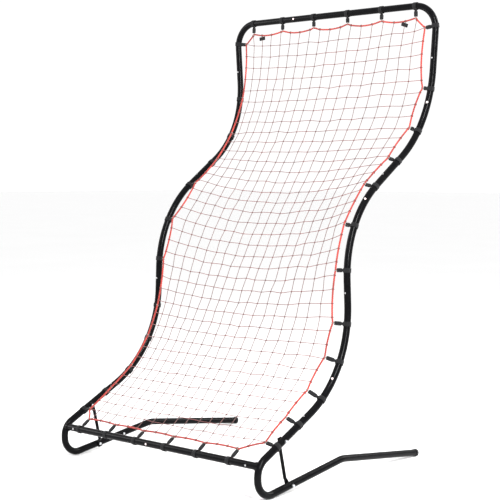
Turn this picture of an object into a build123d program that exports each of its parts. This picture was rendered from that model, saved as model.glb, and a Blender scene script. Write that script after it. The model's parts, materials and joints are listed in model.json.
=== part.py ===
from build123d import *
import math
import os

# A pitch back rebounder for ball games: a free-standing frame of bent steel tube, a
# knotted net with a rope round its edge, and elastic ties that hold the rope to the frame.
# Millimetres. +Z is up, the sloping front of the net faces -Y, and +X is to the right of
# somebody who stands in front of it. The origin is on the floor, under the middle of the
# whole object.

# Tube stock
TUBE_R = 12.5
TUBE_WALL = 1.2
BORE_R = TUBE_R - TUBE_WALL
CUT_MARGIN = 2.0            # holes are cut from this far inside a wall to this far outside it

# Side frame: corners of the tube's centre line before they are bent round
BAND_PROUD = 2.1            # the tie bands stand this far outside the back tubes
BACK_Y = 481.0 - BAND_PROUD / 2
MIDDLE_Y = -7.0 - BAND_PROUD / 2
FRONT_Y = -481.0 - BAND_PROUD / 2
TOP_CORNER = Vector(507, BACK_Y, 1685)
UPPER_BEND = Vector(476, BACK_Y, 1237)
MIDDLE_BEND = Vector(468, MIDDLE_Y, 898)
BASE_X = 489.0
LOWER_BEND = Vector(BASE_X, MIDDLE_Y, 362)
SLOPE = math.radians(27.3)  # the tube and the net below the lower bend
LEG_RISE = math.radians(9)  # the leg behind the floor bend
LEG_FALL = math.radians(7.1)
TOP_BEND_R = 90.0
SIDE_BEND_R = 400.0
FLOOR_BEND_R = 60.0
LEG_BEND_R = 120.0
LEG_BEND_Y = -47.0
LEG_TIP_Y = 415.0
LEG_TIP_X = 465.0

# Telescoping joints: a swaged plug on one tube slides into the next one
PLUG_R = 11.2
PLUG_BORE_R = 10.0
PLUG_LENGTH = 50.0
NECK_LENGTH = 3.0
SEAM_GAP = 0.8
TOP_SEAM = 173.0            # distances along the straight runs, from the corner above
UPPER_SEAM = 308.0
MIDDLE_SEAM = 228.0
LOWER_SEAM = 246.0
LEG_SEAM = 307.0

# Snap buttons and the V springs that push them out
BUTTON_R = 3.5
BUTTON_HOLE_R = 3.58
BUTTON_SETBACK = 25.0
BUTTON_TOP = TUBE_R + 3.0
BUTTON_ROUND = 2.6
FLANGE_R = 4.6
FLANGE_TOP = 8.8
FLANGE_THICK = 1.0
STRIP_WIDTH = 8.0
STRIP_THICK = 0.8
STRIP_HEEL = 20.0           # from the button to the fold of the V
STRIP_TAIL = 18.0
STRIP_BACK = 9.0            # the free leaf rests against the far wall of the bore

# Crossbar between the floor bends
CROSSBAR_ANGLE = math.radians(147)
COLLAR_R = 15.0
COLLAR_LENGTH = 3.0
STUB_END_X = 350.0
CROSSBAR_BUTTON_X = 437.0

# Braces inside the floor bends
BRACE_R = 6.0
BRACE_TOP_Y = -359.0
BRACE_FOOT_Y = -323.0
PLATE_THICK = 3.0
PLATE_WIDTH = 18.0
PLATE_LENGTH = 22.0
BRACE_NECK = 12.0           # where the tube is pressed flat
BOLT_R = 3.0
BOLT_HOLE_R = 3.2
BOLT_HEAD_R = 5.5
BOLT_HEAD_THICK = 4.0
BOLT_HEAD_ROUND = 2.0
BOLT_TAIL = 3.0
NUT_WIDTH = 10.0
NUT_THICK = 5.0
NUT_FIT = 0.05

# Leg screws and feet
SCREW_R = 2.0
SCREW_HOLE_R = 2.1
SCREW_HEAD_R = 4.5
SCREW_HEAD_THICK = 2.4
SCREW_HEAD_ROUND = 1.44
SCREW_SETBACK = 20.0
SCREW_DEPTH = 4.0
CAP_R = 14.0
CAP_LENGTH = 12.0
CAP_PLUG_R = 11.0
CAP_PLUG_LENGTH = 20.0
CAP_EDGE = 3.0
GROUND_BLOCK = (56, 48, 28)  # what is cut off a foot below the floor

# Border rope, net and ties
ROPE_R = 3.5
ARC_SHARE = 0.45            # the part of a straight run that the bend at its end may use
ROPE_SAG = 12.0             # the rope runs this much further in between two ties
NET_THICK = 2.5
NET_CLEAR = 15.0            # rope centre to the edge of the net's solid
NET_MARGIN = 60.0           # the net's sheet before it is cut to its outline
TOP_TIE_X = (86, 252, 411)
TOP_REACH = 40.0            # tube centre to rope centre
BOTTOM_TIE_X = (-412, -262, -109, 44, 198, 352)
BOTTOM_REACH = 51.0
# Side ties, the highest first: how far along the tube from the middle of the top bar, the
# reach from the tube's centre to the rope's, and how many degrees the tie leans forward.
SIDE_TIES = (
    (541, 40, 0), (775, 28, 22), (949, 31, 45), (1113, 38, 22),
    (1273, 44, 20), (1453, 38, 26), (1614, 41, 25), (1801, 48, 43),
    (1938, 51, 48), (2092, 55, 42), (2232, 52, 31), (2355, 41, 18),
)
BAND_R = 13.0
BAND_THICK = 1.6
BAND_WIDTH = 16.0
TAB_START = 17.5
TAB_TO_ROPE = 5.5           # the loop shows between the tab and the rope's centre
TAB_THICK = 6.0
TAB_ROUND = 1.8
TAB_WIDTH = 15.0
NECK_THICK = 3.0
NECK_WIDTH = 9.0
LOOP_R = 1.25
LOOP_BITE = 0.5             # the loop is pulled this far into the rope
PATCH_X = 362.0
PATCH_SIZE = (30, 2.5, 15)
PATCH_DROP = 3.0
PATCH_LIFT = 1.2

# Assembly markers: small round stickers on the right tube and the two bars
MARKER_R = 4.0
MARKER_LIFT = 0.06
MARKER_THICK = 0.4
MARKER_STATIONS = (830, 1346, 2007)
MARKER_TURN = 0.35          # they face a little outward as well as forward
TOP_MARKER_X = -185.0
CROSSBAR_MARKER_X = -40.0

SIDES = {"left": -1, "right": 1}
FRONT = Vector(0, -1, 0)
OUTWARD = Vector(1, 0, 0)


def along(start, end, distance):
    """The point at a distance from start towards end."""
    return start + (end - start).normalized() * distance


def square_to(direction, axis):
    """The part of direction that is square to axis, as a unit vector."""
    axis = axis.normalized()
    return (direction - axis * direction.dot(axis)).normalized()


def ring(outer, inner):
    """A circle, or an annulus where inner is above zero."""
    if inner > 0:
        return Circle(outer) - Circle(inner)
    return Circle(outer)


def rod(start, end, outer, inner=0.0):
    """A straight round bar or pipe between two points."""
    face = Plane(origin=start, z_dir=end - start) * ring(outer, inner)
    return extrude(face, amount=(end - start).length)


def bent_tube(path, outer, inner=0.0):
    """A round tube along a path of straight runs and tangent arcs."""
    face = Plane(origin=path @ 0, z_dir=path % 0) * ring(outer, inner)
    return sweep(face, path=path)


def other_side(shape):
    """The same piece on the left side of the object."""
    return mirror(shape, about=Plane.YZ)


def on_side(shape, sign):
    return shape if sign > 0 else other_side(shape)


# Corners and seams that follow from the driving dimensions
floor_bend_z = TUBE_R + FLOOR_BEND_R
front_drop = FLOOR_BEND_R * (1 / math.cos(LEG_RISE) + math.tan(LEG_RISE))
FLOOR_CORNER = Vector(BASE_X, FRONT_Y, floor_bend_z - front_drop)
slope_drop = (MIDDLE_Y - FRONT_Y) * math.tan(SLOPE)
FRONT_CORNER = Vector(BASE_X, FRONT_Y, LOWER_BEND.Z - slope_drop)
leg_lift = (LEG_BEND_Y - FRONT_Y) * math.tan(LEG_RISE)
LEG_CORNER = Vector(BASE_X, LEG_BEND_Y, FLOOR_CORNER.Z + leg_lift)
leg_drop = (LEG_TIP_Y - LEG_BEND_Y) * math.tan(LEG_FALL)
LEG_TIP = Vector(LEG_TIP_X, LEG_TIP_Y, LEG_CORNER.Z - leg_drop)

SEAMS = {
    "top": along(TOP_CORNER, UPPER_BEND, TOP_SEAM),
    "upper": along(UPPER_BEND, MIDDLE_BEND, UPPER_SEAM),
    "middle": along(MIDDLE_BEND, LOWER_BEND, MIDDLE_SEAM),
    "lower": along(LOWER_BEND, FRONT_CORNER, LOWER_SEAM),
    "leg": along(FLOOR_CORNER, LEG_CORNER, LEG_SEAM),
}
RUNS = {
    "top": (UPPER_BEND - TOP_CORNER).normalized(),
    "upper": (MIDDLE_BEND - UPPER_BEND).normalized(),
    "middle": (LOWER_BEND - MIDDLE_BEND).normalized(),
    "lower": (FRONT_CORNER - LOWER_BEND).normalized(),
    "leg": (FLOOR_CORNER - LEG_CORNER).normalized(),
}

top_middle = Vector(0, BACK_Y, TOP_CORNER.Z)
side_corners = [TOP_CORNER, UPPER_BEND, MIDDLE_BEND, LOWER_BEND, FRONT_CORNER, FLOOR_CORNER]
side_radii = [TOP_BEND_R] + [SIDE_BEND_R] * 3 + [FLOOR_BEND_R] * 2
side_path = FilletPolyline(top_middle, *side_corners, SEAMS["leg"], radius=side_radii)


def station(distance):
    """Point and direction of the side tube at a distance from the middle of the top bar."""
    point = side_path.position_at(distance, position_mode=PositionMode.LENGTH)
    tangent = side_path.tangent_at(distance, position_mode=PositionMode.LENGTH)
    return point, tangent.normalized()


crossbar_y = FRONT_Y + FLOOR_BEND_R + FLOOR_BEND_R * math.cos(CROSSBAR_ANGLE)
# The bend between the slope and the short front drop is centred below the slope.
front_tangent = FLOOR_BEND_R * math.tan((math.pi / 2 - SLOPE) / 2)
front_centre_z = FRONT_CORNER.Z - front_tangent
crossbar_z = front_centre_z + FLOOR_BEND_R * math.sin(CROSSBAR_ANGLE)


def crossbar_point(x):
    return Vector(x, crossbar_y, crossbar_z)


# --- Joints ------------------------------------------------------------------------------


def plug(seam):
    """The swaged end of a tube, with the neck that joins it to the full-size tube."""
    start, run = SEAMS[seam], RUNS[seam]
    spigot = rod(start - run * NECK_LENGTH, start + run * PLUG_LENGTH, PLUG_R, PLUG_BORE_R)
    neck = rod(start - run * NECK_LENGTH, start, BORE_R + TUBE_WALL / 2, PLUG_BORE_R)
    return spigot + neck


def radial_plane(centre, run, direction):
    """Local frame whose +Z leaves the tube's axis along direction, with +X along the run."""
    return Plane(origin=centre, x_dir=run, z_dir=square_to(direction, run))


def button_plane(seam):
    """The frame of a snap button on the front of the right tube."""
    run = RUNS[seam]
    return radial_plane(SEAMS[seam] + run * BUTTON_SETBACK, run, FRONT)


def radial_cylinder(radius, low, high):
    """A cylinder along local Z between two distances from the tube's axis."""
    align = (Align.CENTER, Align.CENTER, Align.MIN)
    return Pos(0, 0, low) * Cylinder(radius, high - low, align=align)


def button_hole(plane):
    return plane * radial_cylinder(BUTTON_HOLE_R, PLUG_BORE_R - CUT_MARGIN, TUBE_R + CUT_MARGIN)


def snap_button(plane):
    """A flanged button whose round nose locks the two tubes."""
    flange = radial_cylinder(FLANGE_R, FLANGE_TOP - FLANGE_THICK, FLANGE_TOP)
    nose = radial_cylinder(BUTTON_R, FLANGE_TOP, BUTTON_TOP)
    nose = fillet(nose.edges().sort_by(Axis.Z)[-1], BUTTON_ROUND)
    return plane * (flange + nose)


def button_spring(plane):
    """A strip folded to a V: one leaf carries the button and the other rests on the bore."""
    pad_z = FLANGE_TOP - FLANGE_THICK - STRIP_THICK / 2
    tail_z = -STRIP_BACK + STRIP_THICK / 2
    middle = Polyline(
        (-FLANGE_R, pad_z),
        (FLANGE_R, pad_z),
        (STRIP_HEEL, (pad_z + tail_z) / 2),
        (-STRIP_TAIL, tail_z),
    )
    outline = trace(middle, STRIP_THICK)
    profile = Plane(origin=(0, 0, 0), x_dir=(1, 0, 0), z_dir=(0, -1, 0)) * outline
    return plane * extrude(profile, amount=STRIP_WIDTH / 2, both=True)


# --- Frame tubes -------------------------------------------------------------------------


def side_tube(first, corners, radii, last, plug_seam=None, holes=()):
    """One bent section of the right side, with its plug and its button holes."""
    path = FilletPolyline(first, *corners, last, radius=radii)
    tube = bent_tube(path, TUBE_R, BORE_R)
    if plug_seam:
        tube += plug(plug_seam)
    for seam in holes:
        tube -= button_hole(button_plane(seam))
    return tube


def entry(seam):
    """Where the tube that takes the plug begins, a small gap past the seam."""
    return SEAMS[seam] + RUNS[seam] * SEAM_GAP


def top_tube():
    """The top bar with both upper corners and a plug at each end."""
    left_seam = Vector(-SEAMS["top"].X, SEAMS["top"].Y, SEAMS["top"].Z)
    left_corner = Vector(-TOP_CORNER.X, TOP_CORNER.Y, TOP_CORNER.Z)
    path = FilletPolyline(left_seam, left_corner, TOP_CORNER, SEAMS["top"], radius=TOP_BEND_R)
    spigot = plug("top") - button_hole(button_plane("top"))
    return bent_tube(path, TUBE_R, BORE_R) + spigot + other_side(spigot)


def upper_tube():
    return side_tube(
        entry("top"), [UPPER_BEND], [SIDE_BEND_R], SEAMS["upper"], "upper", ("top", "upper")
    )


def middle_tube():
    return side_tube(
        entry("upper"), [MIDDLE_BEND], [SIDE_BEND_R], SEAMS["middle"], "middle",
        ("upper", "middle"),
    )


def lower_tube():
    return side_tube(
        entry("middle"), [LOWER_BEND], [SIDE_BEND_R], SEAMS["lower"], "lower",
        ("middle", "lower"),
    )


def slope_point(y):
    """Centre of the sloping tube at a given depth."""
    share = (y - LOWER_BEND.Y) / (FRONT_CORNER.Y - LOWER_BEND.Y)
    return LOWER_BEND + (FRONT_CORNER - LOWER_BEND) * share


def leg_point(y):
    """Centre of the leg in front of its bend, at a given depth."""
    share = (y - FLOOR_CORNER.Y) / (LEG_CORNER.Y - FLOOR_CORNER.Y)
    return FLOOR_CORNER + (LEG_CORNER - FLOOR_CORNER) * share


def brace_ends():
    return slope_point(BRACE_TOP_Y), leg_point(BRACE_FOOT_Y)


def leg_screw_plane():
    run = RUNS["leg"]
    return radial_plane(SEAMS["leg"] + run * SCREW_SETBACK, run, OUTWARD * -1)


def leg_screw_hole():
    return leg_screw_plane() * radial_cylinder(SCREW_HOLE_R, PLUG_BORE_R - CUT_MARGIN, TUBE_R + CUT_MARGIN)


def base_tube():
    """The floor bend: the end of the slope, the front turn and the first of the leg."""
    tube = side_tube(
        entry("lower"), [FRONT_CORNER, FLOOR_CORNER], [FLOOR_BEND_R] * 2,
        SEAMS["leg"] + RUNS["leg"] * SEAM_GAP, holes=("lower",),
    )
    reach = OUTWARD * (TUBE_R + CUT_MARGIN)
    for centre in brace_ends():
        tube -= rod(centre - reach, centre + reach, BOLT_HOLE_R)
    return tube - leg_screw_hole()


def rear_leg():
    """The rear of the leg, whose plug points forward into the floor bend."""
    path = FilletPolyline(SEAMS["leg"], LEG_CORNER, LEG_TIP, radius=LEG_BEND_R)
    return bent_tube(path, TUBE_R, BORE_R) + plug("leg") - leg_screw_hole()


def leg_screw():
    head = radial_cylinder(SCREW_HEAD_R, TUBE_R, TUBE_R + SCREW_HEAD_THICK)
    head = fillet(head.edges().sort_by(Axis.Z)[-1], SCREW_HEAD_ROUND)
    shank = radial_cylinder(SCREW_R, TUBE_R - SCREW_DEPTH, TUBE_R)
    return leg_screw_plane() * (head + shank)


def end_cap():
    """A plastic foot pushed into the leg's open end, flat where it stands on the floor."""
    run = (LEG_TIP - LEG_CORNER).normalized()
    stem = rod(LEG_TIP - run * CAP_PLUG_LENGTH, LEG_TIP, CAP_PLUG_R)
    head = rod(LEG_TIP, LEG_TIP + run * CAP_LENGTH, CAP_R)
    rim = head.edges().filter_by(GeomType.CIRCLE).sort_by(Axis.Y)[-1]
    head = fillet(rim, CAP_EDGE)
    align = (Align.CENTER, Align.CENTER, Align.MAX)
    ground = Pos(LEG_TIP.X, LEG_TIP.Y, 0) * Box(*GROUND_BLOCK, align=align)
    return stem + head - ground


# --- Crossbar and braces -----------------------------------------------------------------


def crossbar_plane(sign):
    """The frame of the crossbar's snap button on one side, facing forward."""
    return radial_plane(crossbar_point(sign * CROSSBAR_BUTTON_X), OUTWARD * -sign, FRONT)


def crossbar_stub():
    """A short pipe welded to the right floor bend, which the crossbar slides over."""
    collar_end = BASE_X - TUBE_R - COLLAR_LENGTH
    stub = rod(crossbar_point(BASE_X), crossbar_point(STUB_END_X), PLUG_R, PLUG_BORE_R)
    stub += rod(crossbar_point(BASE_X), crossbar_point(collar_end), COLLAR_R, PLUG_BORE_R)
    bend = FilletPolyline(
        entry("lower"), FRONT_CORNER, FLOOR_CORNER, SEAMS["leg"], radius=FLOOR_BEND_R
    )
    stub = stub - bent_tube(bend, TUBE_R) - button_hole(crossbar_plane(1))
    return stub.solids().sort_by(Axis.X)[0]


def crossbar():
    end = BASE_X - TUBE_R - COLLAR_LENGTH - SEAM_GAP
    bar = rod(crossbar_point(-end), crossbar_point(end), TUBE_R, BORE_R)
    for sign in SIDES.values():
        bar -= button_hole(crossbar_plane(sign))
    return bar


def brace():
    """A thin tube, flattened at both ends, bolted to the inside of the right floor bend."""
    inner_x = BASE_X - TUBE_R
    top, foot = (Vector(inner_x, p.Y, p.Z) for p in brace_ends())
    run = (foot - top).normalized()
    centre = OUTWARD * -BRACE_R
    plate_end = PLATE_LENGTH / 2
    shape = rod(
        top + run * (plate_end + BRACE_NECK) + centre,
        foot - run * (plate_end + BRACE_NECK) + centre, BRACE_R,
    )
    for end, way in ((top, run), (foot, run * -1)):
        flat = Plane(origin=end + OUTWARD * (-PLATE_THICK / 2), x_dir=OUTWARD, z_dir=way)
        blade = flat * Rectangle(PLATE_THICK, PLATE_WIDTH)
        shape += extrude(blade, amount=plate_end, both=True)
        round_plane = Plane(
            origin=end + way * (plate_end + BRACE_NECK) + centre, x_dir=OUTWARD, z_dir=way
        )
        blade_end = flat.offset(plate_end) * Rectangle(PLATE_THICK, PLATE_WIDTH)
        shape += loft([blade_end.face(), (round_plane * Circle(BRACE_R)).face()])
        reach = OUTWARD * (PLATE_THICK * 2)
        shape -= rod(end - reach, end + reach, BOLT_HOLE_R)
    return shape


def brace_bolt(centre):
    head_x = BASE_X - TUBE_R - PLATE_THICK
    tip_x = BASE_X + TUBE_R + NUT_THICK + BOLT_TAIL
    seat = Vector(head_x, centre.Y, centre.Z)
    shank = rod(seat, Vector(tip_x, centre.Y, centre.Z), BOLT_R)
    head = rod(seat - OUTWARD * BOLT_HEAD_THICK, seat, BOLT_HEAD_R)
    head = fillet(head.edges().sort_by(Axis.X)[0], BOLT_HEAD_ROUND)
    return shank + head


def brace_nut(centre):
    seat = Plane(origin=(BASE_X + TUBE_R, centre.Y, centre.Z), z_dir=OUTWARD)
    nut = seat * RegularPolygon(NUT_WIDTH / 2, 6, major_radius=False)
    bolt = seat * Circle(BOLT_R + NUT_FIT)
    return extrude(nut - bolt, amount=NUT_THICK)


# --- Rope, net and ties ------------------------------------------------------------------


def side_rope():
    """The rope's points down the right side: at each tie, and further in between two ties."""
    points = []
    for distance, reach, lean in SIDE_TIES:
        centre, run = station(distance)
        angle = math.radians(lean)
        inward = square_to(OUTWARD * -1, run) * math.cos(angle)
        forward = square_to(FRONT, run) * math.sin(angle)
        held = centre + (inward + forward) * reach
        if points:
            points.append((points[-1] + held) / 2 - OUTWARD * ROPE_SAG)
        points.append(held)
    return points


def bottom_rope(x, sag=0.0):
    """A rope point above the crossbar, measured up the slope."""
    above = slope_point(crossbar_y + BOTTOM_REACH)
    way = Vector(0, above.Y - crossbar_y, above.Z - crossbar_z).normalized()
    return crossbar_point(x) + way * (BOTTOM_REACH + sag)


def rope_points():
    """The whole loop, clockwise from the top middle as seen from the front."""
    height = TOP_CORNER.Z - TOP_REACH
    top = [Vector(0, BACK_Y, height - ROPE_SAG)]
    for i, x in enumerate(TOP_TIE_X):
        top.append(Vector(x, BACK_Y, height))
        if i + 1 < len(TOP_TIE_X):
            middle = (x + TOP_TIE_X[i + 1]) / 2
            top.append(Vector(middle, BACK_Y, height - ROPE_SAG))
    bottom = []
    for i, x in enumerate(BOTTOM_TIE_X):
        if i > 0:
            bottom.append(bottom_rope((x + BOTTOM_TIE_X[i - 1]) / 2, ROPE_SAG))
        bottom.append(bottom_rope(x))
    right = top + side_rope()
    left = [Vector(-p.X, p.Y, p.Z) for p in side_rope()[::-1] + top[:0:-1]]
    return right + bottom[::-1] + left


def turn_radii(points):
    """For each inner point, the largest arc that its two runs allow."""
    radii = []
    for before, here, after in zip(points, points[1:], points[2:]):
        shorter = min((here - before).length, (after - here).length)
        turn = math.radians((here - before).get_angle(after - here))
        radii.append(ARC_SHARE * shorter / math.tan(turn / 2))
    return radii


def rope_paths():
    """The loop as two open paths that meet in the middle of straight runs."""
    loop = rope_points()
    half = len(loop) // 2
    breaks = [(loop[0] + loop[1]) / 2, (loop[half] + loop[half + 1]) / 2]
    routes = [
        [breaks[0], *loop[1:half + 1], breaks[1]],
        [breaks[1], *loop[half + 1:], loop[0], breaks[0]],
    ]
    return [FilletPolyline(*route, radius=turn_radii(route)) for route in routes]


def border_rope(paths):
    return bent_tube(paths[0], ROPE_R) + bent_tube(paths[1], ROPE_R)


def net():
    """A thin solid that follows the rope down both sides, cut to a line inside the rope."""
    loop = rope_points()
    held = side_rope()[::2]
    low = bottom_rope(0)
    last_run = Vector(0, low.Y - held[-1].Y, low.Z - held[-1].Z).normalized()
    side = [Vector(0, BACK_Y, TOP_CORNER.Z + NET_MARGIN), *held, low + last_run * NET_MARGIN]
    corners = [Vector(p.Y, p.Z) for p in side]
    curve = FilletPolyline(*corners, radius=turn_radii(corners))
    band = Plane.YZ * make_face(curve.offset_2d(NET_THICK / 2, side=Side.BOTH))
    slab = extrude(band, amount=BASE_X, both=True)
    outline = Plane.XZ * make_face(Polyline(*[(p.X, p.Z) for p in inner_loop(loop)], close=True))
    return slab & extrude(outline, amount=BASE_X * 2, both=True)


def inner_loop(loop):
    """The rope's points moved inward by the clearance that the net keeps."""
    middle_z = (max(p.Z for p in loop) + min(p.Z for p in loop)) / 2
    moved = []
    for before, here, after in zip(loop[-1:] + loop, loop, loop[1:] + loop[:1]):
        run = after - before
        square = Vector(-run.Z, 0, run.X).normalized() * -1
        if square.dot(Vector(-here.X, 0, middle_z - here.Z)) < 0:
            square = square * -1
        moved.append(here + square * NET_CLEAR)
    return moved


def corner_tab(sign):
    """A small sewn patch below the top rope, on the front of the net."""
    height = TOP_CORNER.Z - TOP_REACH - ROPE_SAG - ROPE_R - PATCH_DROP
    centre = (sign * PATCH_X, BACK_Y - NET_THICK / 2 - PATCH_LIFT, height)
    return Pos(*centre) * Box(*PATCH_SIZE, align=(Align.CENTER, Align.MAX, Align.MAX))


def nearest_on_rope(point, paths):
    ends = [path.closest_points(Vertex(*point))[0] for path in paths]
    return min(ends, key=lambda end: (end - point).length)


def tie(centre, run, paths):
    """The band round the tube, the tab on it, and the loop that holds the rope."""
    rope = nearest_on_rope(centre, paths)
    side = square_to(rope - centre, run)
    local = Plane(origin=centre, x_dir=side, z_dir=run)
    band = extrude(local * ring(BAND_R + BAND_THICK, BAND_R), amount=BAND_WIDTH / 2, both=True)
    neck_start = BAND_R + BAND_THICK / 2
    neck_x = (neck_start + TAB_START) / 2
    band += local * Pos(neck_x, 0, 0) * Box(TAB_START - neck_start, NECK_THICK, NECK_WIDTH)
    tab_end = (rope - centre).dot(side) - TAB_TO_ROPE
    tab_x = (TAB_START + tab_end) / 2
    tab = local * Pos(tab_x, 0, 0) * Box(tab_end - TAB_START, TAB_THICK, TAB_WIDTH)
    tab = fillet(tab.edges().filter_by(Axis(centre, run)), TAB_ROUND)
    start = centre + side * tab_end
    loop = rod(start, start + side * (TAB_TO_ROPE - ROPE_R + LOOP_BITE), LOOP_R)
    return band, tab, loop


def tie_groups(paths):
    """The ties of each edge, as the stations where they sit."""
    groups = {"top": [], "left": [], "right": [], "bottom": []}
    for x in TOP_TIE_X:
        for sign in SIDES.values():
            groups["top"].append((Vector(sign * x, BACK_Y, TOP_CORNER.Z), OUTWARD))
    for x in BOTTOM_TIE_X:
        groups["bottom"].append((crossbar_point(x), OUTWARD))
    for distance, _, _ in SIDE_TIES:
        point, run = station(distance)
        groups["right"].append((point, run))
        groups["left"].append((Vector(-point.X, point.Y, point.Z), Vector(-run.X, run.Y, run.Z)))
    return {
        edge: [tie(centre, run, paths) for centre, run in places]
        for edge, places in groups.items()
    }


# --- Assembly markers --------------------------------------------------------------------


def marker(centre, run, direction):
    """A round sticker that follows the tube's surface."""
    plane = radial_plane(centre, run, direction)
    inner = TUBE_R + MARKER_LIFT
    half = run * MARKER_R * 2
    skin = rod(centre - half, centre + half, inner + MARKER_THICK, inner)
    return skin & (plane * radial_cylinder(MARKER_R, 0, TUBE_R * 2))


def assembly_markers():
    outward = FRONT + OUTWARD * MARKER_TURN
    markers = [marker(*station(distance), outward) for distance in MARKER_STATIONS]
    markers.append(marker(Vector(TOP_MARKER_X, BACK_Y, TOP_CORNER.Z), OUTWARD, FRONT))
    markers.append(marker(crossbar_point(CROSSBAR_MARKER_X), OUTWARD, FRONT))
    return markers


# --- Writing the pieces ------------------------------------------------------------------


def solids_of(shapes):
    return [solid for shape in shapes for solid in shape.solids()]


def write(name, *shapes):
    """One file for a piece, or for a group of the same piece in several places."""
    pieces = solids_of(shapes)
    export_step(pieces[0] if len(pieces) == 1 else Compound(pieces), f"parts/{name}.step")


os.makedirs("parts", exist_ok=True)

write("top_tube", top_tube())
paired = {
    "upper_tube": upper_tube(),
    "middle_tube": middle_tube(),
    "lower_tube": lower_tube(),
    "base_tube": base_tube(),
    "rear_leg": rear_leg(),
    "end_cap": end_cap(),
    "crossbar_stub": crossbar_stub(),
    "brace": brace(),
}
for name, shape in paired.items():
    for side, sign in SIDES.items():
        write(f"{name}_{side}", on_side(shape, sign))
write("crossbar", crossbar())

for seam in ("top", "upper", "middle", "lower"):
    plane = button_plane(seam)
    for side, sign in SIDES.items():
        write(f"snap_button_{seam}_{side}", on_side(snap_button(plane), sign))
        write(f"button_spring_{seam}_{side}", on_side(button_spring(plane), sign))
for side, sign in SIDES.items():
    write(f"snap_button_crossbar_{side}", snap_button(crossbar_plane(sign)))
    write(f"button_spring_crossbar_{side}", button_spring(crossbar_plane(sign)))

bolts = [brace_bolt(centre) for centre in brace_ends()]
nuts = [brace_nut(centre) for centre in brace_ends()]
write("brace_bolts", *bolts, *map(other_side, bolts))
write("brace_nuts", *nuts, *map(other_side, nuts))
write("leg_screws", leg_screw(), other_side(leg_screw()))
write("assembly_markers", *assembly_markers())

rope_path = rope_paths()
write("border_rope", border_rope(rope_path))
write("net", net())
write("corner_tabs", *[corner_tab(sign) for sign in SIDES.values()])
for edge, ties in tie_groups(rope_path).items():
    bands, tabs, loops = zip(*ties)
    write(f"tie_bands_{edge}", *bands)
    write(f"tie_tabs_{edge}", *tabs)
    write(f"tie_loops_{edge}", *loops)
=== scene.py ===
import json
import math

import bpy
import numpy as np
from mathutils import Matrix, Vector


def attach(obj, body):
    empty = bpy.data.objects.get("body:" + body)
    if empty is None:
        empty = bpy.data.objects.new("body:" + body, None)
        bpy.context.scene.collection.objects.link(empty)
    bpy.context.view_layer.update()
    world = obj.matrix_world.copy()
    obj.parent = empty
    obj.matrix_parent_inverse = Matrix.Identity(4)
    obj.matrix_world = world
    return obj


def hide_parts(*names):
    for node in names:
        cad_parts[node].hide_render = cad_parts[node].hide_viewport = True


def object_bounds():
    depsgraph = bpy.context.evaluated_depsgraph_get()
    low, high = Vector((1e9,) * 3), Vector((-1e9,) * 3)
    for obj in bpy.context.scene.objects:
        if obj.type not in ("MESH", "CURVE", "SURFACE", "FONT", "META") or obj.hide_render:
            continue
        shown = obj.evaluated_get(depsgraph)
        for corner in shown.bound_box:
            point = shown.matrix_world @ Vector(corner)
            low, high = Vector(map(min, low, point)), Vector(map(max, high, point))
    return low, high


# The pitch back rebounder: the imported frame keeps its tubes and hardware, and the net,
# its border rope and the ties are built here as the twine, rope and webbing they are.
# Metres. The front of the net faces -Y.

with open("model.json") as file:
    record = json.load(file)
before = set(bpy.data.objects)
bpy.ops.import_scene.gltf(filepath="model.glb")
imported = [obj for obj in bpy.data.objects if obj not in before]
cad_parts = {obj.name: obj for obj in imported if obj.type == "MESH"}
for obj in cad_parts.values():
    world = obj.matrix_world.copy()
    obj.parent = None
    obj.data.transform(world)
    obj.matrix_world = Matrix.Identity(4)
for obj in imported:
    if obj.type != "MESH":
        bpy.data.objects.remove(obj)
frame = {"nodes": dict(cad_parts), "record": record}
cad_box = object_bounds()
rng = np.random.default_rng(7)

BODY = "frame"
EDGES = ("top", "right", "bottom", "left")

# Camera
CAMERA_PLACE = (3.2145, -3.4639, 1.0553)
CAMERA_AZIMUTH = math.radians(42.779)
CAMERA_PITCH = math.radians(3.397)
CAMERA_LENS = 91.44

# Studio
FLOOR_REACH = 60.0
FLOOR_DROP = 0.0004     # just below the feet, so that the two surfaces don't coincide
WORLD_LIGHT = 1.05
LIGHTS = {              # place, size and power
    "key": ((2.9, -1.6, 2.6), (0.25, 2.6), 230),
    "fill": ((-3.0, -2.2, 2.0), (0.6, 2.6), 45),
    "rim": ((1.6, 3.0, 2.6), (0.5, 2.4), 60),
}

# Ties: the first three sizes are the CAD's, and the others stay a little inside its solids
TAB_START = 0.0175
TAB_TO_ROPE = 0.0055
BAND_R = 0.0130
BAND_THICK = 0.0014
BAND_WIDTH = 0.016
TAB_WIDTH = 0.015
TAB_THICK = 0.0058
CLUSTER = 0.05          # two ties are further apart than this
BAND_STEPS = 40
BAND_CORNER = 0.45      # the webbing's edge radius, in its thicknesses
BAND_LAP = (0.62, 0.86, 0.0007)     # the sewn lap: where it starts and ends, and how thick
BAND_RISE = 0.0005      # the band stands off a little under the tab
BAND_RISE_ANGLE = 0.35
TAB_SECTIONS = 13
TAB_PINCH = (0.42, 0.12, 0.1)       # by the band: how much narrower, where, and its reach
TAB_TAPER = 0.06
TAB_PRESS = (0.55, 0.45, 5)         # the layers' thickness by the band, and how it grows
LAYER_THICK = TAB_THICK / 3
LAYER_FILL = 0.98       # a layer is a little thinner than its third of the tab
LAYER_PITCH = 1.02      # and the next one starts a little beyond it
LAYER_CORNER = 0.42
TAB_LEAN = 0.0012
TAB_TIP = 0.92          # where along the tab its end starts to narrow
TAB_TIP_NARROWS = 0.25
LONG_TAB = 0.012        # only a longer tab has visible seams
SEAM_SIDES = (-0.288, 0.288)        # in tab widths
SEAM_START = 0.34
SEAM_PITCH = 0.1
SEAM_STITCHES = 6
STITCH_LENGTH = 0.0011
STITCH_R = 0.00028
STITCH_LIFT = 0.0001    # how far a stitch starts above the tab, and how much further it rises
STITCH_RISE = 0.0002
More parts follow.
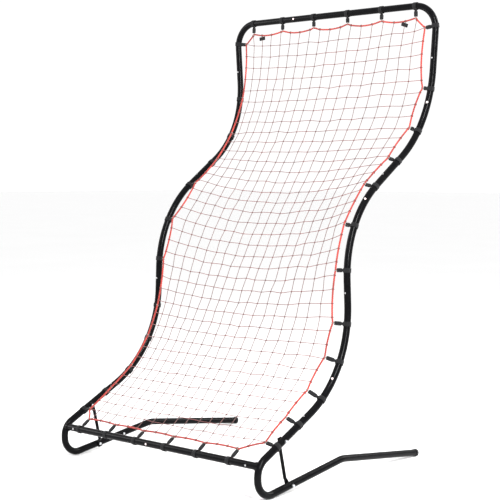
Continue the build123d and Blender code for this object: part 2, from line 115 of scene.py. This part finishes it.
PATCH_TURNS = {-1: -0.10, 1: 0.35}  # how each patch hangs, in radians
PATCH_SECTIONS = 9
PATCH_CURL = 0.0006     # how far back its ends stand
PATCH_TAPER = 0.06
PATCH_THICK = 0.8       # in thicknesses of the CAD patch, as are the next two
PATCH_CORNER = 0.3
PATCH_STITCH_DEPTH = 0.42
PATCH_SEAM_SIDES = (-0.36, 0.36)    # in patch heights
PATCH_SEAM_REACH = 0.85
PATCH_STITCHES = 12
PATCH_STITCH = 0.0013
PATCH_STITCH_R = 0.00025

# Net
COLUMNS = 18
ROWS = 38
CORNER_RUN = 0.05       # rope between a corner of the net and the first side tie
TOP_WIDTH = 0.94
BOTTOM_WIDTH = 0.90
ACROSS_FORCE = 1.0      # force densities: rows, columns and rope
DOWN_FORCE = 0.65
ROPE_FORCE = 14.0
TOP_ROPE_FORCE = 3.6
BOTTOM_ROPE_FORCE = 9.0
SAG_LOAD = 0.0009
TWINE_R = 0.00115
KNOT_R = 0.0021
KNOT_TWINE_R = 0.00095
KNOT_FLATNESS = 0.62
KNOT_POINTS = 8
KNOT_CROSSING = 0.7     # how far each turn of a knot stands off its middle, in twine radii
NODE_WANDER = 0.0014    # how far a knot strays from its even place
WANDER_DEPTH = 0.3      # the share of it that goes front to back
SHORTEST_SHARE = 0.15   # a piece of rope shorter than this share of a mesh counts as this long
NEAREST_ROPE_POINTS = 0.006
HITCH_TURNS = 2
HITCH_POINTS = 22
HITCH_SEAT = 0.4        # how far the hitch's centre line stands off the rope, in twine radii

# Rope: three strands laid round each other
ROPE_R = 0.0035
STRAND_R = 0.0019
LAY_R = 0.0016
LAY_LENGTH = 0.024
ROPE_STEP = 0.0022

# Elastic loops
LOOP_R = 0.0011
LOOP_SEAT = 0.6         # how far the loop's centre line stands off the rope, in its radii
LOOP_STEM = ((-0.003, 0.0012, -0.0016), (0.0006, 0.0022, -0.0014))  # from the tab's end
LOOP_WRAP = 125         # degrees to each side of the rope's far face
LOOP_POINTS = 11
LOOP_SLIDE = 0.0014 / 2.2           # along the rope for each radian round it


# --- Small mesh tools ----------------------------------------------------------------------


class Mesh:
    """Vertices and faces gathered from many simple shapes, with a material index each."""

    def __init__(self):
        self.vertices, self.faces, self.slots = [], [], []
        self.count = 0

    def add(self, vertices, faces, slot=0):
        vertices = np.asarray(vertices, float).reshape(-1, 3)
        self.vertices.append(vertices)
        self.faces += [tuple(int(i) + self.count for i in face) for face in faces]
        self.slots += [slot] * len(faces)
        self.count += len(vertices)

    def build(self, name, materials, rides=True, smooth=True):
        """The object in the scene. It rides on the frame unless it is part of the studio."""
        mesh = bpy.data.meshes.new(name)
        mesh.from_pydata(np.vstack(self.vertices).tolist(), [], self.faces)
        for material in materials:
            mesh.materials.append(material)
        mesh.polygons.foreach_set("material_index", self.slots)
        mesh.polygons.foreach_set("use_smooth", [smooth] * len(self.faces))
        mesh.update()
        obj = bpy.data.objects.new(name, mesh)
        bpy.context.scene.collection.objects.link(obj)
        if rides:
            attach(obj, BODY)
        return obj


def unit(v):
    return v / np.linalg.norm(v)


def tangents(points, closed):
    if closed:
        return np.array([unit(d) for d in np.roll(points, -1, 0) - np.roll(points, 1, 0)])
    ends = np.vstack([points[:1], points, points[-1:]])
    return np.array([unit(d) for d in ends[2:] - ends[:-2]])


def carried_frames(points, closed=False):
    """Tangent and two square directions at each point, turning as little as possible."""
    along = tangents(points, closed)
    start = np.cross(along[0], (0.0, 0.0, 1.0))
    if np.linalg.norm(start) < 1e-3:
        start = np.cross(along[0], (0.0, 1.0, 0.0))
    normals = [unit(start)]
    for t in along[1:]:
        n = normals[-1] - t * normals[-1].dot(t)
        normals.append(unit(n))
    normals = np.array(normals)
    if closed:
        last = normals[-1] - along[0] * normals[-1].dot(along[0])
        side = np.cross(along[0], normals[0])
        gap = math.atan2(last.dot(side), last.dot(normals[0]))
        turns = -gap * np.arange(len(points)) / len(points)
        sides = np.cross(along, normals)
        normals = normals * np.cos(turns)[:, None] + sides * np.sin(turns)[:, None]
    return along, normals, np.cross(along, normals)


def tube(mesh, points, radius, sides=6, closed=False, slot=0):
    """A round tube along points. Open tubes get flat ends."""
    points = np.asarray(points, float)
    _, normals, others = carried_frames(points, closed)
    angles = 2 * math.pi * np.arange(sides) / sides
    ring = normals[:, None] * np.cos(angles)[None, :, None]
    ring = ring + others[:, None] * np.sin(angles)[None, :, None]
    vertices = points[:, None] + ring * radius
    faces = []
    count = len(points)
    for i in range(count if closed else count - 1):
        a, b = i * sides, (i + 1) % count * sides
        for k in range(sides):
            m = (k + 1) % sides
            faces.append((a + k, a + m, b + m, b + k))
    if not closed:
        faces.append(tuple(range(sides))[::-1])
        faces.append(tuple(range((count - 1) * sides, count * sides)))
    mesh.add(vertices, faces, slot)


def smooth_line(points, steps, closed=False):
    """A curve through every point, with steps pieces between two of them."""
    points = np.asarray(points, float)
    if closed:
        padded = np.vstack([points[-1:], points, points[:2]])
    else:
        first, last = 2 * points[0] - points[1], 2 * points[-1] - points[-2]
        padded = np.vstack([first, points, last])
    out = []
    share = (np.arange(steps) / steps)[:, None]
    for a, b, c, d in zip(padded, padded[1:], padded[2:], padded[3:]):
        curve = 2 * b + (c - a) * share + (2 * a - 5 * b + 4 * c - d) * share**2
        out.append((curve + (3 * b - a - 3 * c + d) * share**3) / 2)
    if not closed:
        out.append(points[-1:])
    return np.vstack(out)


def even_points(points, step, closed=False):
    """The same line with points an even distance apart."""
    line = np.vstack([points, points[:1]]) if closed else points
    reach = np.r_[0, np.cumsum(np.linalg.norm(np.diff(line, axis=0), axis=1))]
    count = max(2, int(round(reach[-1] / step)))
    marks = np.linspace(0, reach[-1], count, endpoint=not closed)
    return np.stack([np.interp(marks, reach, line[:, k]) for k in range(3)], 1)


def outline_sweep(mesh, sections):
    """Joins equal closed outlines and closes both ends."""
    count, last = len(sections[0]), len(sections) - 1
    faces = []
    for i in range(last):
        for k in range(count):
            m = (k + 1) % count
            faces.append((i * count + k, i * count + m, (i + 1) * count + m, (i + 1) * count + k))
    faces.append(tuple(range(count))[::-1])
    faces.append(tuple(range(last * count, (last + 1) * count)))
    mesh.add(np.vstack(sections), faces)


# --- Materials -----------------------------------------------------------------------------


class Surface:
    """A Principled material with helpers for procedural detail in object coordinates."""

    def __init__(self, name, color, roughness, metallic=0.0, **sockets):
        self.material = bpy.data.materials.new(name)
        self.material.use_nodes = True
        self.nodes = self.material.node_tree.nodes
        self.links = self.material.node_tree.links
        self.shader = self.nodes["Principled BSDF"]
        self.shader.inputs["Base Color"].default_value = (*color, 1)
        self.shader.inputs["Roughness"].default_value = roughness
        self.shader.inputs["Metallic"].default_value = metallic
        for socket, value in sockets.items():
            self.shader.inputs[socket.replace("_", " ")].default_value = value
        self.place = self.nodes.new("ShaderNodeTexCoord").outputs["Object"]

    def noise(self, scale, detail=4.0, rough=0.55):
        node = self.nodes.new("ShaderNodeTexNoise")
        node.inputs["Scale"].default_value = scale
        node.inputs["Detail"].default_value = detail
        node.inputs["Roughness"].default_value = rough
        self.links.new(self.place, node.inputs["Vector"])
        return node.outputs["Fac"]

    def wave(self, scale, direction, distortion=0.0):
        node = self.nodes.new("ShaderNodeTexWave")
        node.bands_direction = direction
        node.inputs["Scale"].default_value = scale
        node.inputs["Distortion"].default_value = distortion
        self.links.new(self.place, node.inputs["Vector"])
        return node.outputs["Fac"]

    def ramp(self, value, low, high, start=0.3, end=0.7):
        node = self.nodes.new("ShaderNodeValToRGB")
        stops = node.color_ramp.elements
        stops[0].position, stops[1].position = start, end
        stops[0].color, stops[1].color = (*low, 1), (*high, 1)
        self.links.new(value, node.inputs["Fac"])
        return node.outputs["Color"]

    def span(self, value, low, high):
        node = self.nodes.new("ShaderNodeMapRange")
        node.inputs["To Min"].default_value = low
        node.inputs["To Max"].default_value = high
        self.links.new(value, node.inputs["Value"])
        return node.outputs["Result"]

    def mix(self, a, b, kind="MULTIPLY"):
        node = self.nodes.new("ShaderNodeMath")
        node.operation = kind
        self.links.new(a, node.inputs[0])
        self.links.new(b, node.inputs[1])
        return node.outputs["Value"]

    def colour(self, value):
        self.links.new(value, self.shader.inputs["Base Color"])

    def roughness(self, value):
        self.links.new(value, self.shader.inputs["Roughness"])

    def bump(self, value, strength, distance):
        node = self.nodes.new("ShaderNodeBump")
        node.inputs["Strength"].default_value = strength
        node.inputs["Distance"].default_value = distance
        self.links.new(value, node.inputs["Height"])
        self.links.new(node.outputs["Normal"], self.shader.inputs["Normal"])


def powder_coat():
    """Black powder coat: a fine orange peel, a little dust and satin reflections."""
    s = Surface("powder_coat", (0.004, 0.004, 0.005), 0.22, Specular_IOR_Level=0.07)
    s.colour(s.ramp(s.noise(38.0), (0.0015, 0.0015, 0.002), (0.0035, 0.0035, 0.004)))
    s.roughness(s.span(s.noise(16.0, 6.0), 0.14, 0.26))
    s.bump(s.noise(900.0, 2.0), 0.08, 0.0004)
    return s.material


def zinc():
    s = Surface("zinc_plate", (0.60, 0.61, 0.63), 0.28, metallic=1.0)
    s.colour(s.ramp(s.noise(260.0), (0.46, 0.47, 0.49), (0.72, 0.73, 0.75)))
    s.roughness(s.span(s.noise(120.0, 5.0), 0.18, 0.42))
    s.bump(s.noise(1400.0), 0.1, 0.0003)
    return s.material


def nickel(name, low, high):
    """Worn plate or spring strip, between two greys."""
    s = Surface(name, (high, high, high), 0.34, metallic=1.0)
    s.colour(s.ramp(s.noise(420.0), (low, low, low * 1.02), (high, high, high * 1.02)))
    s.roughness(s.span(s.noise(300.0, 5.0), 0.24, 0.5))
    s.bump(s.noise(2200.0), 0.12, 0.0002)
    return s.material


def moulded():
    """The feet: soft black plastic with a fine grain."""
    s = Surface("moulded_foot", (0.01, 0.01, 0.01), 0.55, Specular_IOR_Level=0.2)
    s.colour(s.ramp(s.noise(80.0), (0.006, 0.006, 0.006), (0.013, 0.013, 0.013)))
    s.roughness(s.span(s.noise(60.0), 0.46, 0.66))
    s.bump(s.noise(1500.0, 2.0), 0.35, 0.0005)
    return s.material


def webbing(name, low, high):
    """Woven webbing: two crossed sets of ribs under a fuzzy surface."""
    s = Surface(name, high, 0.8, Sheen_Weight=0.05, Specular_IOR_Level=0.2)
    weave = s.mix(s.wave(520.0, "X"), s.wave(520.0, "Z"), "ADD")
    weave = s.mix(weave, s.wave(520.0, "Y"), "ADD")
    s.colour(s.ramp(s.noise(700.0), low, high))
    s.roughness(s.span(s.noise(200.0), 0.7, 0.92))
    s.bump(weave, 0.4, 0.0004)
    return s.material


def twine(name, low, high):
    """Polyester twine: tone that drifts along it, and fibres."""
    s = Surface(name, high, 0.72, Sheen_Weight=0.25)
    s.colour(s.ramp(s.mix(s.noise(14.0), s.noise(900.0, 3.0)), low, high, 0.12, 0.42))
    s.roughness(s.span(s.noise(300.0), 0.6, 0.85))
    s.bump(s.noise(2600.0, 2.0), 0.5, 0.0003)
    return s.material


def braided_elastic():
    s = Surface("braided_elastic", (0.16, 0.14, 0.13), 0.7, Sheen_Weight=0.3)
    s.colour(s.ramp(s.wave(900.0, "Z", 4.0), (0.05, 0.045, 0.045), (0.34, 0.30, 0.27)))
    s.bump(s.noise(2400.0), 0.5, 0.0003)
    return s.material


def sticker():
    """Round vinyl markers, left blank, with a little dirt."""
    s = Surface("marker_vinyl", (0.80, 0.66, 0.64), 0.42)
    s.colour(s.ramp(s.noise(420.0), (0.62, 0.34, 0.32), (0.92, 0.86, 0.85), 0.36, 0.58))
    s.roughness(s.span(s.noise(200.0), 0.3, 0.55))
    s.bump(s.noise(1200.0), 0.1, 0.0002)
    return s.material


def floor_paint():
    s = Surface("pale_floor", (0.92, 0.92, 0.92), 0.75)
    s.colour(s.ramp(s.noise(0.9), (0.915, 0.915, 0.915), (0.93, 0.93, 0.93)))
    s.bump(s.noise(30.0), 0.05, 0.0005)
    return s.material


# --- Reading the ties from the CAD nodes -----------------------------------------------------


def clusters(node):
    """The vertices of each separate small solid in a CAD node."""
    points = np.array([v.co[:] for v in frame["nodes"][node].data.vertices])
    groups = []
    while len(points):
        near = np.linalg.norm(points - points[0], axis=1) < CLUSTER
        groups.append(np.unique(points[near].round(6), axis=0))
        points = points[~near]
    return groups


class Tie:
    """Where one tie sits: the tube's centre, the ways to the rope and along the tube."""

    def __init__(self, tab, loop):
        self.side = unit(loop.mean(0) - tab.mean(0))
        flat = tab - tab.mean(0)
        flat = flat - np.outer(flat @ self.side, self.side)
        self.run = np.linalg.svd(flat, full_matrices=False)[2][0]
        self.run = unit(self.run - self.side * self.run.dot(self.side))
        if self.run[2] > abs(self.run[0]) or self.run[0] < -abs(self.run[2]):
            self.run = -self.run
        self.face = np.cross(self.run, self.side)
        reach = (tab - tab.mean(0)) @ self.side
        self.centre = tab.mean(0) + self.side * (reach.min() - TAB_START)
        self.tab_end = TAB_START + reach.max() - reach.min()
        self.rope = self.centre + self.side * (self.tab_end + TAB_TO_ROPE)

    def point(self, out, up=0.0, along=0.0):
        return self.centre + self.side * out + self.face * up + self.run * along


def read_ties():
    ties = {}
    for edge in EDGES:
        tabs, loops = clusters(f"tie_tabs_{edge}"), clusters(f"tie_loops_{edge}")
        pairs = []
        for tab in tabs:
            gaps = [np.linalg.norm(loop.mean(0) - tab.mean(0)) for loop in loops]
            pairs.append(Tie(tab, loops[int(np.argmin(gaps))]))
        axis = 0 if edge in ("top", "bottom") else 2
        pairs.sort(key=lambda tie: tie.rope[axis] * (1 if axis == 0 else -1))
        ties[edge] = pairs
    return ties


# --- The net's shape -------------------------------------------------------------------------


def held_shares(ties, edge):
    """How far along an edge of the net each tie holds the rope, from 0 to 1."""
    ropes = np.array([tie.rope for tie in ties[edge]])
    if edge in ("top", "bottom"):
        width = TOP_WIDTH if edge == "top" else BOTTOM_WIDTH
        return 0.5 + ropes[:, 0] / width
    reach = np.r_[0, np.cumsum(np.linalg.norm(np.diff(ropes, axis=0), axis=1))]
    return (reach + CORNER_RUN) / (reach[-1] + 2 * CORNER_RUN)


def edge_cells(edge):
    """The net's own nodes along an edge."""
    if edge == "top":
        return [(i, 0) for i in range(COLUMNS + 1)]
    if edge == "bottom":
        return [(i, ROWS) for i in range(COLUMNS + 1)]
    column = 0 if edge == "left" else COLUMNS
    return [(column, j) for j in range(ROWS + 1)]


def relaxed_net(ties):
    """Where the net and its rope come to rest between the ties, with their weight on them."""
    names = [(i, j) for j in range(ROWS + 1) for i in range(COLUMNS + 1)]
    links = []
    for j in range(1, ROWS):
        links += [((i, j), (i + 1, j), ACROSS_FORCE) for i in range(COLUMNS)]
    for i in range(1, COLUMNS):
        links += [((i, j), (i, j + 1), DOWN_FORCE) for j in range(ROWS)]
    held, chains = {}, {}
    for edge in EDGES:
        cells = edge_cells(edge)
        marks = [(k / (len(cells) - 1), cell) for k, cell in enumerate(cells)]
        for k, (tie, share) in enumerate(zip(ties[edge], held_shares(ties, edge))):
            held[(edge, k)] = tie.rope
            names.append((edge, k))
            marks.append((share, (edge, k)))
        marks.sort(key=lambda mark: mark[0])
        force = {"top": TOP_ROPE_FORCE, "bottom": BOTTOM_ROPE_FORCE}.get(edge, ROPE_FORCE)
        for (low, a), (high, b) in zip(marks, marks[1:]):
            links.append((a, b, force / max((high - low) * (len(cells) - 1), SHORTEST_SHARE)))
        chains[edge] = [name for _, name in marks]
    number = {name: k for k, name in enumerate(names)}
    pull = np.zeros((len(names), len(names)))
    for a, b, force in links:
        a, b = number[a], number[b]
        pull[[a, b], [a, b]] += force
        pull[[a, b], [b, a]] -= force
    load = np.zeros((len(names), 3))
    load[:(COLUMNS + 1) * (ROWS + 1), 2] = -SAG_LOAD
    fixed = [number[name] for name in held]
    free = [k for k in range(len(names)) if k not in set(fixed)]
    place = np.zeros((len(names), 3))
    place[fixed] = [held[name] for name in held]
    rest = load[free] - pull[np.ix_(free, fixed)] @ place[fixed]
    place[free] = np.linalg.solve(pull[np.ix_(free, free)], rest)
    return {name: place[k] for name, k in number.items()}, chains


def rope_line(places, chains):
    """The rope's centre line, once round: top, right, bottom and left."""
    order = chains["top"] + chains["right"][1:] + chains["bottom"][::-1][1:]
    order += chains["left"][::-1][1:-1]
    points = [places[name] for name in order]
    kept = [points[0]]
    for p in points[1:]:
        if np.linalg.norm(p - kept[-1]) > NEAREST_ROPE_POINTS:
            kept.append(p)
    return even_points(smooth_line(kept, 10, closed=True), ROPE_STEP, closed=True)


# --- Net, rope and ties as pieces ------------------------------------------------------------


def build_rope(line, material):
    """Three strands laid round the line, which meet themselves after a whole number of turns."""
    mesh = Mesh()
    _, normals, others = carried_frames(line, closed=True)
    turns = round(len(line) * ROPE_STEP / LAY_LENGTH)
    for k in range(3):
        angle = 2 * math.pi * (turns * np.arange(len(line)) / len(line) + k / 3)
        offset = normals * np.cos(angle)[:, None] + others * np.sin(angle)[:, None]
        tube(mesh, line + offset * LAY_R, STRAND_R, sides=7, closed=True)
    rope = mesh.build("laid_border_rope", [material])
    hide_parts("border_rope")
    return rope


def hitch(mesh, place, line, strand_from, slot):
    """A turn of twine round the rope where a strand of the net ends."""
    near = int(np.argmin(np.linalg.norm(line - place, axis=1)))
    along = unit(line[(near + 1) % len(line)] - line[near - 1])
    out = place - strand_from
    out = unit(out - along * out.dot(along))
    other = np.cross(along, out)
    angles = np.linspace(0, HITCH_TURNS * 2 * math.pi, HITCH_POINTS)
    turn = np.outer(np.cos(angles), out) + np.outer(np.sin(angles), other)
    lift = np.outer(np.linspace(-TWINE_R, TWINE_R, len(angles)), along)
    centre = line[near]
    tube(mesh, centre + turn * (ROPE_R + TWINE_R * HITCH_SEAT) + lift, TWINE_R, sides=5, slot=slot)


def knot(mesh, place, across, down, slot):
    """A mesh knot: two small crossed turns of twine, one in front of the other."""
    across, down = unit(across), unit(down)
    front = unit(np.cross(across, down))
    angles = np.linspace(0, 2 * math.pi, KNOT_POINTS, endpoint=False)
    for sign in (-1, 1):
        long = unit(across + down * sign)
        short = np.cross(front, long)
        loop = np.outer(np.cos(angles), long) + KNOT_FLATNESS * np.outer(np.sin(angles), short)
        centre = place + front * KNOT_TWINE_R * KNOT_CROSSING * sign
        tube(mesh, centre + loop * KNOT_R, KNOT_TWINE_R, sides=5, closed=True, slot=slot)


def build_net(places, line, materials):
    """Every row and column as its own twine, a knot where they cross, hitches on the rope."""
    mesh = Mesh()
    grid = {key: place.copy() for key, place in places.items() if isinstance(key[0], int)}
    for i in range(1, COLUMNS):
        for j in range(1, ROWS):
            grid[i, j] += rng.normal(0, NODE_WANDER, 3) * (1, WANDER_DEPTH, 1)
    rows = [[(i, j) for i in range(COLUMNS + 1)] for j in range(1, ROWS)]
    columns = [[(i, j) for j in range(ROWS + 1)] for i in range(1, COLUMNS)]
    for slot, strands in enumerate((rows, columns)):
        for strand in strands:
            points = np.array([grid[key] for key in strand])
            tube(mesh, smooth_line(points, 4), TWINE_R, sides=6, slot=slot)
            hitch(mesh, points[0], line, points[1], slot)
            hitch(mesh, points[-1], line, points[-2], slot)
    for i in range(1, COLUMNS):
        for j in range(1, ROWS):
            across, down = grid[i + 1, j] - grid[i - 1, j], grid[i, j + 1] - grid[i, j - 1]
            knot(mesh, grid[i, j], across, down, 2)
    net = mesh.build("knotted_net", materials)
    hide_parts("net")
    return net


def rounded(width, thick, radius, per_corner=3):
    """A rounded rectangle's outline, centred."""
    corners = ((1, 1, 0), (-1, 1, 90), (-1, -1, 180), (1, -1, 270))
    out = []
    for x, y, start in corners:
        for k in range(per_corner):
            angle = math.radians(start + 90 * k / (per_corner - 1))
            out.append((
                x * (width / 2 - radius) + radius * math.cos(angle),
                y * (thick / 2 - radius) + radius * math.sin(angle),
            ))
    return out


def band(mesh, tie):
    """Webbing once round the tube, a little thicker where its end is sewn down."""
    lap_start, lap_end, lap_thick = BAND_LAP
    vertices, faces = [], []
    profile = rounded(BAND_WIDTH, BAND_THICK, BAND_THICK * BAND_CORNER)
    for s in range(BAND_STEPS):
        angle = 2 * math.pi * s / BAND_STEPS
        way = tie.side * math.cos(angle) + tie.face * math.sin(angle)
        lap = lap_thick if lap_start < s / BAND_STEPS < lap_end else 0.0
        from_tab = min(angle, 2 * math.pi - angle)
        rise = BAND_RISE * math.exp(-(from_tab / BAND_RISE_ANGLE) ** 2)
        for u, v in profile:
            radius = BAND_R + BAND_THICK / 2 + lap + rise + v
            vertices.append(tie.centre + way * radius + tie.run * u)
    count = len(profile)
    for s in range(BAND_STEPS):
        a, b = s * count, (s + 1) % BAND_STEPS * count
        faces += [(a + k, a + (k + 1) % count, b + (k + 1) % count, b + k) for k in range(count)]
    mesh.add(vertices, faces)


def tab(mesh, stitches, tie, lean):
    """The sewn tab: webbing folded back on itself, pinched at the tube, with its seams."""
    start, end = BAND_R + BAND_THICK * 0.5, tie.tab_end
    pinch, pinch_mark, pinch_reach = TAB_PINCH
    pressed, opens, growth = TAB_PRESS
    for layer in (-1, 0, 1):
        sections = []
        for mark in np.linspace(0, 1, TAB_SECTIONS):
            neck = 1 - pinch * math.exp(-((mark - pinch_mark) / pinch_reach) ** 2)
            width = TAB_WIDTH * neck * (1 - TAB_TAPER * mark)
            thick = LAYER_THICK * (pressed + opens * min(1.0, mark * growth)) * LAYER_FILL
            centre = tie.point(start + (end - start) * mark,
                               layer * thick * LAYER_PITCH + lean * mark * TAB_LEAN)
            tip = 1 - TAB_TIP_NARROWS * max(0.0, (mark - TAB_TIP) / (1 - TAB_TIP))
            outline = rounded(width * tip, thick, thick * LAYER_CORNER)
            sections.append(np.array([centre + tie.run * u + tie.face * v for u, v in outline]))
        outline_sweep(mesh, sections)
    if end - start < LONG_TAB:
        return
    for across in SEAM_SIDES:
        for sign in (-1, 1):
            lift = sign * (TAB_THICK / 2 + STITCH_LIFT) + lean * TAB_LEAN / 2
            for k in range(SEAM_STITCHES):
                first = start + (end - start) * (SEAM_START + SEAM_PITCH * k)
                place, rise = across * TAB_WIDTH, lift + sign * STITCH_RISE
                stitch = [tie.point(first, lift, place)]
                stitch.append(tie.point(first + STITCH_LENGTH, rise, place))
                tube(stitches, stitch, STITCH_R, sides=5)


def loop(mesh, tie):
    """A thin elastic loop from the end of the tab, once round the rope."""
    around = ROPE_R + LOOP_R * LOOP_SEAT
    points = [tie.point(tie.tab_end + out, up, along) for out, up, along in LOOP_STEM]
    for angle in np.radians(np.linspace(LOOP_WRAP, -LOOP_WRAP, LOOP_POINTS)):
        out = tie.tab_end + TAB_TO_ROPE + around * math.cos(angle)
        points.append(tie.point(out, around * math.sin(angle), -angle * LOOP_SLIDE))
    points += [tie.point(tie.tab_end + out, -up, -along) for out, up, along in LOOP_STEM[::-1]]
    tube(mesh, smooth_line(points, 3), LOOP_R, sides=7)


def build_ties(ties, fabric, tab_fabric, thread, elastic):
    for edge in EDGES:
        bands, tabs, stitches, loops = Mesh(), Mesh(), Mesh(), Mesh()
        for tie in ties[edge]:
            lean = float(rng.uniform(-1, 1))
            band(bands, tie)
            tab(tabs, stitches, tie, lean)
            loop(loops, tie)
        made = bands.build(f"webbing_bands_{edge}", [fabric])
        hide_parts(f"tie_bands_{edge}")
        made = tabs.build(f"sewn_tabs_{edge}", [tab_fabric])
        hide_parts(f"tie_tabs_{edge}")
        made = stitches.build(f"tab_stitches_{edge}", [thread])
        made = loops.build(f"elastic_loops_{edge}", [elastic])
        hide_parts(f"tie_loops_{edge}")


def build_corner_tabs(material, thread):
    """Two small patches sewn to the net below the top rope."""
    mesh, stitches = Mesh(), Mesh()
    for points in clusters("corner_tabs"):
        low, high = points.min(0), points.max(0)
        centre, size = (low + high) / 2, high - low
        turn = PATCH_TURNS[-1 if centre[0] < 0 else 1]
        run = np.array((math.cos(turn), 0.0, -math.sin(turn)))
        up = np.array((math.sin(turn), 0.0, math.cos(turn)))
        face = np.array((0.0, 1.0, 0.0))
        sections = []
        for mark in np.linspace(-1, 1, PATCH_SECTIONS):
            place = centre + run * size[0] / 2 * mark + face * PATCH_CURL * mark**2
            tall = size[2] * (1 - PATCH_TAPER * mark**4)
            outline = rounded(tall, size[1] * PATCH_THICK, size[1] * PATCH_CORNER)
            sections.append(np.array([place + up * u + face * v for u, v in outline]))
        outline_sweep(mesh, sections)
        for side in PATCH_SEAM_SIDES:
            for mark in np.linspace(-PATCH_SEAM_REACH, PATCH_SEAM_REACH, PATCH_STITCHES):
                base = centre + run * size[0] / 2 * mark + up * size[2] * side
                base = base - face * size[1] * PATCH_STITCH_DEPTH
                tube(stitches, [base, base + run * PATCH_STITCH], PATCH_STITCH_R, sides=5)
    patches = mesh.build("corner_patches", [material])
    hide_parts("corner_tabs")
    stitches.build("patch_stitches", [thread])


def finish_cad_nodes():
    """Gives each CAD node that stays the finish of its slot."""
    finishes = {
        "frame_steel": powder_coat(),
        "zinc_hardware": zinc(),
        "cap_plastic": moulded(),
        "button_steel": nickel("worn_nickel", 0.30, 0.48),
        "spring_steel": nickel("spring_strip", 0.2, 0.34),
        "marker": sticker(),
    }
    slots = {part["node"]: part["material_slot"] for part in frame["record"]["subparts"]}
    for name, obj in frame["nodes"].items():
        if slots[name] in finishes:
            obj.data.materials.clear()
            obj.data.materials.append(finishes[slots[name]])


# --- Studio ----------------------------------------------------------------------------------


def area_light(name, place, target, size, power):
    data = bpy.data.lights.new(name, "AREA")
    data.shape = "RECTANGLE"
    data.size, data.size_y = size
    data.energy = power
    obj = bpy.data.objects.new(name, data)
    obj.location = place
    obj.rotation_euler = (Vector(target) - Vector(place)).to_track_quat("-Z", "Y").to_euler()
    bpy.context.scene.collection.objects.link(obj)


def studio():
    scene = bpy.context.scene
    camera = bpy.data.objects.new("camera", bpy.data.cameras.new("camera"))
    camera.data.lens = CAMERA_LENS
    camera.data.sensor_width = 36.0
    camera.location = CAMERA_PLACE
    camera.rotation_euler = (math.pi / 2 - CAMERA_PITCH, 0.0, CAMERA_AZIMUTH)
    scene.collection.objects.link(camera)
    scene.camera = camera

    floor = Mesh()
    corners = [(-1, -1, 0), (1, -1, 0), (1, 1, 0), (-1, 1, 0)]
    floor.add(np.array(corners) * FLOOR_REACH, [(0, 1, 2, 3)])
    ground = floor.build("floor", [floor_paint()], rides=False, smooth=False)
    ground.location.z = -FLOOR_DROP

    world = bpy.data.worlds.new("studio")
    world.use_nodes = True
    world.node_tree.nodes["Background"].inputs["Color"].default_value = (1.0, 1.0, 1.0, 1)
    world.node_tree.nodes["Background"].inputs["Strength"].default_value = WORLD_LIGHT
    scene.world = world
    centre = (cad_box[0] + cad_box[1]) / 2
    for name, (place, size, power) in LIGHTS.items():
        area_light(name, place, centre, size, power)
    scene.view_settings.view_transform = "Standard"


# --- Making ----------------------------------------------------------------------------------

studio()
finish_cad_nodes()
ties = read_ties()
places, chains = relaxed_net(ties)
line = rope_line(places, chains)
build_rope(line, twine("red_rope", (0.20, 0.008, 0.005), (0.52, 0.030, 0.014)))
build_net(places, line, [
    twine("row_twine", (0.09, 0.011, 0.009), (0.24, 0.028, 0.022)),
    twine("column_twine", (0.06, 0.020, 0.017), (0.16, 0.055, 0.046)),
    twine("knot_twine", (0.05, 0.012, 0.010), (0.15, 0.04, 0.034)),
])
thread = twine("stitch_thread", (0.03, 0.03, 0.032), (0.09, 0.09, 0.095))
build_ties(
    ties,
    webbing("band_webbing", (0.003, 0.003, 0.004), (0.009, 0.009, 0.010)),
    webbing("tab_webbing", (0.004, 0.004, 0.005), (0.011, 0.011, 0.012)),
    thread,
    braided_elastic(),
)
build_corner_tabs(webbing("patch_webbing", (0.004, 0.004, 0.005), (0.012, 0.012, 0.013)), thread)
